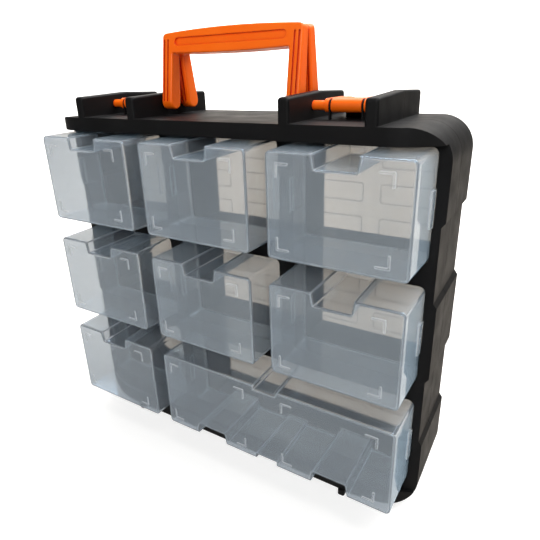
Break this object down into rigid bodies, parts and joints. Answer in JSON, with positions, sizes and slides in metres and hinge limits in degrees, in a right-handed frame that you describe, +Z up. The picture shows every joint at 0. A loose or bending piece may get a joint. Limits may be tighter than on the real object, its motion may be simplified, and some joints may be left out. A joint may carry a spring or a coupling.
{
  "type": "screw organizer box",
  "caption": "Upright hinged organizer box with a carrying handle in two halves, latches, and translucent small-parts bins that stand out through the openings of its front.",
  "frame": {"origin": "centre of the object's box, on the ground under the feet", "axes": "+Z up, the bins face -Y, +X to the right as seen from the front"},
  "size_m": [0.3, 0.0954, 0.3194],
  "materials": {
    "black_shell": "fine grain",
    "clear_bin": "milky translucent",
    "clear_window": "clear with raised pads",
    "orange_trim": "satin",
    "pin_steel": "drawn wire"
  },
  "bodies": {
    "front": {"front_shell": "black_shell", "hinge_pin_left": "pin_steel", "hinge_pin_right": "pin_steel"},
    "lid": {"rear_shell": "black_shell", "rear_window": "clear_window"},
    "bin_top_left": {"bin_top_left": "clear_bin"},
    "bin_top_centre": {"bin_top_centre": "clear_bin"},
    "bin_top_right": {"bin_top_right": "clear_bin"},
    "bin_middle_left": {"bin_middle_left": "clear_bin"},
    "bin_middle_centre": {"bin_middle_centre": "clear_bin"},
    "bin_middle_right": {"bin_middle_right": "clear_bin"},
    "bin_bottom_left": {"bin_bottom_left": "clear_bin"},
    "bin_bottom_double": {"bin_bottom_double": "clear_bin"},
    "handle_front": {"handle_front": "orange_trim"},
    "handle_rear": {"handle_rear": "orange_trim"},
    "latch_left": {"latch_left": "orange_trim"},
    "latch_right": {"latch_right": "orange_trim"}
  },
  "joints": [
    {"name": "lid_hinge", "type": "hinge", "parent": "front", "child": "lid", "pos_m": [0, 0.0123, 0.0035], "axis": [-1, 0, 0], "range_deg": [0, 150]},
    {"name": "bin_top_left_slide", "type": "slide", "parent": "front", "child": "bin_top_left", "axis": [0, 1, 0], "range_m": [0, 0.038]},
    {"name": "bin_top_centre_slide", "type": "slide", "parent": "front", "child": "bin_top_centre", "axis": [0, 1, 0], "range_m": [0, 0.038]},
    {"name": "bin_top_right_slide", "type": "slide", "parent": "front", "child": "bin_top_right", "axis": [0, 1, 0], "range_m": [0, 0.038]},
    {"name": "bin_middle_left_slide", "type": "slide", "parent": "front", "child": "bin_middle_left", "axis": [0, 1, 0], "range_m": [0, 0.038]},
    {"name": "bin_middle_centre_slide", "type": "slide", "parent": "front", "child": "bin_middle_centre", "axis": [0, 1, 0], "range_m": [0, 0.038]},
    {"name": "bin_middle_right_slide", "type": "slide", "parent": "front", "child": "bin_middle_right", "axis": [0, 1, 0], "range_m": [0, 0.038]},
    {"name": "bin_bottom_left_slide", "type": "slide", "parent": "front", "child": "bin_bottom_left", "axis": [0, 1, 0], "range_m": [0, 0.038]},
    {"name": "bin_bottom_double_slide", "type": "slide", "parent": "front", "child": "bin_bottom_double", "axis": [0, 1, 0], "range_m": [0, 0.038]},
    {"name": "handle_front_pivot", "type": "hinge", "parent": "front", "child": "handle_front", "pos_m": [0, 0.0003, 0.2725], "axis": [1, 0, 0], "range_deg": [0, 98]},
    {"name": "handle_rear_pivot", "type": "hinge", "parent": "lid", "child": "handle_rear", "pos_m": [0, 0.0203, 0.2725], "axis": [-1, 0, 0], "range_deg": [0, 98]},
    {"name": "latch_left_pivot", "type": "hinge", "parent": "front", "child": "latch_left", "pos_m": [-0.086, -0.0002, 0.271], "axis": [1, 0, 0], "range_deg": [0, 110]},
    {"name": "latch_right_pivot", "type": "hinge", "parent": "front", "child": "latch_right", "pos_m": [0.086, -0.0002, 0.271], "axis": [1, 0, 0], "range_deg": [0, 110]}
  ]
}
